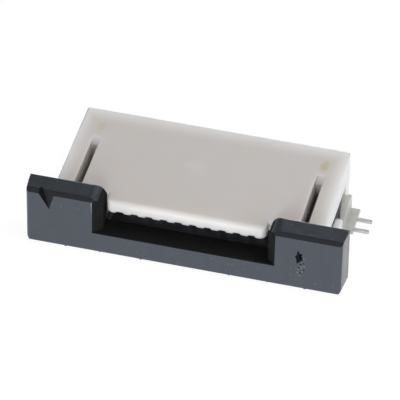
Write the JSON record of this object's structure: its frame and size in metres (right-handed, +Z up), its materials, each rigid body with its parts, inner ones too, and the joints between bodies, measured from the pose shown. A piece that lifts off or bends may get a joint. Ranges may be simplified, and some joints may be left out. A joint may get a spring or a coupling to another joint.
{
  "type": "flat flexible cable connector",
  "caption": "Surface-mount right-angle connector for a flat flexible cable: cream housing, black pull-out slide lock with tall ears, forked contacts and solder-down nails",
  "frame": {"origin": "middle of the housing body's footprint, on the board plane", "axes": "X across the contacts, Y from the cable mouth (-) to the solder tails (+), Z up from the board"},
  "size_m": [0.0111, 0.0059, 0.0023],
  "materials": {
    "housing_plastic": "moulded cream high-temperature plastic, satin",
    "slider_plastic": "moulded black glass-filled plastic, satin",
    "contact_metal": "tin-plated phosphor bronze",
    "nail_metal": "matt tin-plated brass"
  },
  "bodies": {
    "base": {"housing": "housing_plastic", "contact_01": "contact_metal", "contact_02": "contact_metal", "contact_03": "contact_metal", "contact_04": "contact_metal", "contact_05": "contact_metal", "contact_06": "contact_metal", "contact_07": "contact_metal", "contact_08": "contact_metal", "contact_09": "contact_metal", "contact_10": "contact_metal", "fitting_nail_left": "nail_metal", "fitting_nail_right": "nail_metal"},
    "lock": {"slider": "slider_plastic"}
  },
  "joints": [
    {"name": "lock_slide", "type": "slide", "parent": "base", "child": "lock", "axis": [0, -1, 0], "range_m": [0, 0.00094]}
  ]
}
